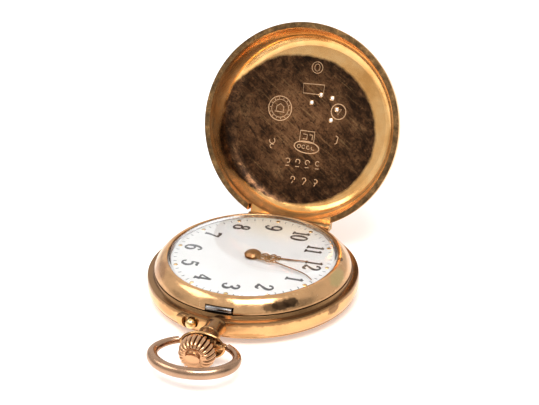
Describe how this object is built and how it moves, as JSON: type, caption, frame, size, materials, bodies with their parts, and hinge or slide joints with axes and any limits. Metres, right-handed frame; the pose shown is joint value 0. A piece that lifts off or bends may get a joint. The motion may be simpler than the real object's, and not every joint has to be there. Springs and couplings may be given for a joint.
{
  "type": "hunter pocket watch",
  "caption": "Hinged hunter-cased pocket watch with open front lid, domed back, crown, swinging bow, set pin and a geared movement with hands.",
  "frame": {"origin": "centre of the flat on the back cover, on the watch's centre line, where it rests on a table", "axes": "+Z out of the dial, +X towards 12 o'clock, -Y towards the crown at 3 o'clock, +Y towards the hinges at 9 o'clock"},
  "size_m": [0.0348, 0.0638, 0.0359],
  "materials": {
    "rose_gold": "polished rose gold, worn",
    "gold": "polished gold",
    "steel": "polished steel",
    "blued_steel": "heat-blued steel",
    "gilt_brass": "frosted gilt brass",
    "enamel": "fired white enamel on copper, glossy",
    "crystal": "clear domed crystal",
    "stone": "faceted clear stone"
  },
  "bodies": {
    "case": {"case_middle": "rose_gold", "bezel": "rose_gold", "crystal": "crystal", "pendant": "rose_gold", "lid_hinge_pin": "gold", "back_hinge_pin": "gold", "cuvette_hinge_pin": "gold", "lift_spring": "blued_steel", "set_pin_guard": "rose_gold", "case_screw_1": "blued_steel", "case_screw_2": "blued_steel", "dial": "enamel", "main_plate": "gilt_brass", "barrel_bridge": "gilt_brass", "centre_cock": "gilt_brass", "third_cock": "gilt_brass", "fourth_cock": "gilt_brass", "escape_cock": "gilt_brass", "balance_cock": "gilt_brass", "click_spring": "blued_steel", "yoke_spring": "blued_steel"},
    "lid": {"front_lid": "rose_gold", "lid_stone_1": "stone", "lid_stone_2": "stone", "lid_stone_3": "stone", "lid_stone_4": "stone", "lid_stone_5": "stone"},
    "back": {"back_cover": "rose_gold"},
    "inner_cover": {"cuvette": "gold"},
    "bow": {"bow": "rose_gold"},
    "push": {"push_sleeve": "steel"},
    "winder": {"crown": "rose_gold", "winding_stem": "steel"},
    "catch": {"lid_catch": "steel"},
    "winding_pinion": {"winding_pinion": "steel"},
    "sliding_pinion": {"sliding_pinion": "steel"},
    "crown_wheel": {"crown_wheel": "steel"},
    "ratchet": {"ratchet_wheel": "steel", "barrel_arbor": "steel"},
    "click": {"click": "steel"},
    "set_button": {"set_pin": "gold"},
    "yoke": {"yoke": "steel"},
    "setting_wheel": {"setting_wheel": "steel"},
    "minute": {"minute_hand": "gold", "cannon_pinion": "steel"},
    "hour": {"hour_hand": "gold", "hour_wheel": "gilt_brass"},
    "minute_wheel": {"minute_wheel": "gilt_brass"},
    "fourth": {"fourth_wheel": "gilt_brass"},
    "third": {"third_wheel": "gilt_brass"},
    "centre": {"centre_wheel": "gilt_brass"},
    "barrel": {"barrel": "gilt_brass", "barrel_cover": "gilt_brass", "mainspring": "steel"},
    "escape": {"escape_wheel": "steel"},
    "balance": {"balance_wheel": "gilt_brass", "balance_staff": "steel", "hairspring": "blued_steel"},
    "regulator": {"regulator": "steel"}
  },
  "joints": [
    {"name": "lid_hinge", "type": "hinge", "parent": "case", "child": "lid", "pos_m": [0.00059, 0.01619, 0.005], "axis": [-0.9993, 0.0366, 0], "range_deg": [-112.6, 0], "stiffness_Nm_per_rad": 0.0006},
    {"name": "back_hinge", "type": "hinge", "parent": "case", "child": "back", "pos_m": [0, 0.01675, 0.0015], "axis": [1, 0, 0], "range_deg": [0, 100]},
    {"name": "cuvette_hinge", "type": "hinge", "parent": "case", "child": "inner_cover", "pos_m": [0, 0.01542, 0.00175], "axis": [1, 0, 0], "range_deg": [0, 86]},
    {"name": "bow_swing", "type": "hinge", "parent": "case", "child": "bow", "pos_m": [0, -0.02237, 0.0032], "axis": [1, 0, 0], "range_deg": [-80, 80]},
    {"name": "crown_push", "type": "slide", "parent": "case", "child": "push", "axis": [0, 1, 0], "range_m": [0, 0.00035], "stiffness_N_per_m": 2500},
    {"name": "crown_turn", "type": "hinge", "parent": "push", "child": "winder", "pos_m": [0, -0.025, 0.0032], "axis": [0, 1, 0], "continuous": true},
    {"name": "catch_slide", "type": "slide", "parent": "case", "child": "catch", "axis": [0, 1, 0], "range_m": [0, 0.00037]},
    {"name": "winding_pinion_turn", "type": "hinge", "parent": "case", "child": "winding_pinion", "pos_m": [0, -0.0111, 0.0032], "axis": [0, 1, 0], "continuous": true},
    {"name": "sliding_pinion_shift", "type": "slide", "parent": "winding_pinion", "child": "sliding_pinion", "axis": [0, 1, 0], "range_m": [0, 0.0005]},
    {"name": "crown_wheel_turn", "type": "hinge", "parent": "case", "child": "crown_wheel", "pos_m": [0, -0.00786, 0.001], "axis": [0, 0, 1], "continuous": true},
    {"name": "ratchet_turn", "type": "hinge", "parent": "case", "child": "ratchet", "pos_m": [0.00449, -0.00332, 0.001], "axis": [0, 0, 1], "continuous": true},
    {"name": "click_lift", "type": "hinge", "parent": "case", "child": "click", "pos_m": [0.00886, -0.00491, 0.001], "axis": [0, 0, -1], "range_deg": [0, 12], "stiffness_Nm_per_rad": 0.0001},
    {"name": "set_pin_push", "type": "slide", "parent": "case", "child": "set_button", "axis": [0.2385, 0.9711, 0], "range_m": [0, 0.00035], "stiffness_N_per_m": 1500},
    {"name": "yoke_pivot", "type": "hinge", "parent": "case", "child": "yoke", "pos_m": [-0.0072, -0.0092, 0.003], "axis": [0, 0, 1], "range_deg": [0, 5.1]},
    {"name": "setting_wheel_turn", "type": "hinge", "parent": "case", "child": "setting_wheel", "pos_m": [0, -0.00658, 0.0051], "axis": [0, 0, -1], "continuous": true},
    {"name": "minute_hand_turn", "type": "hinge", "parent": "case", "child": "minute", "pos_m": [0, 0, 0.007], "axis": [0, 0, -1], "continuous": true},
    {"name": "hour_hand_turn", "type": "hinge", "parent": "case", "child": "hour", "pos_m": [0, 0, 0.0067], "axis": [0, 0, -1], "continuous": true},
    {"name": "minute_wheel_turn", "type": "hinge", "parent": "case", "child": "minute_wheel", "pos_m": [0, -0.0025, 0.0051], "axis": [0, 0, -1], "continuous": true},
    {"name": "fourth_wheel_turn", "type": "hinge", "parent": "case", "child": "fourth", "pos_m": [-0.0037, 0.00477, 0.003], "axis": [0, 0, -1], "continuous": true},
    {"name": "third_wheel_turn", "type": "hinge", "parent": "case", "child": "third", "pos_m": [-0.00036, 0.00412, 0.003], "axis": [0, 0, -1], "continuous": true},
    {"name": "centre_wheel_turn", "type": "hinge", "parent": "case", "child": "centre", "pos_m": [0, 0, 0.003], "axis": [0, 0, -1], "continuous": true},
    {"name": "barrel_turn", "type": "hinge", "parent": "case", "child": "barrel", "pos_m": [0.00449, -0.00332, 0.003], "axis": [0, 0, -1], "continuous": true},
    {"name": "escape_wheel_turn", "type": "hinge", "parent": "case", "child": "escape", "pos_m": [-0.0063, 0.00333, 0.003], "axis": [0, 0, -1], "continuous": true},
    {"name": "balance_swing", "type": "hinge", "parent": "case", "child": "balance", "pos_m": [-0.00674, 0.00082, 0.003], "axis": [0, 0, 1], "range_deg": [-150, 150], "stiffness_Nm_per_rad": 0.00000012},
    {"name": "regulator_turn", "type": "hinge", "parent": "case", "child": "regulator", "pos_m": [-0.00674, 0.00082, 0.0008], "axis": [0, 0, 1], "range_deg": [-15, 15]}
  ],
  "couplings": [
    {"joint": "cuvette_hinge", "follows": "back_hinge", "ratio": 0.85},
    {"joint": "catch_slide", "follows": "crown_push", "ratio": 1},
    {"joint": "winding_pinion_turn", "follows": "crown_turn", "ratio": 1},
    {"joint": "crown_wheel_turn", "follows": "crown_turn", "ratio": -0.5},
    {"joint": "ratchet_turn", "follows": "crown_turn", "ratio": 0.53571},
    {"joint": "yoke_pivot", "follows": "set_pin_push", "rad_per_m": 208.44},
    {"joint": "sliding_pinion_shift", "follows": "set_pin_push", "ratio": 1.1631},
    {"joint": "hour_hand_turn", "follows": "minute_hand_turn", "ratio": 0.083333},
    {"joint": "minute_wheel_turn", "follows": "minute_hand_turn", "ratio": -0.33333},
    {"joint": "setting_wheel_turn", "follows": "minute_hand_turn", "ratio": 0.28571},
    {"joint": "third_wheel_turn", "follows": "fourth_wheel_turn", "ratio": -0.13333},
    {"joint": "centre_wheel_turn", "follows": "fourth_wheel_turn", "ratio": 0.016667},
    {"joint": "barrel_turn", "follows": "fourth_wheel_turn", "ratio": -0.0020833},
    {"joint": "escape_wheel_turn", "follows": "fourth_wheel_turn", "ratio": -8}
  ]
}
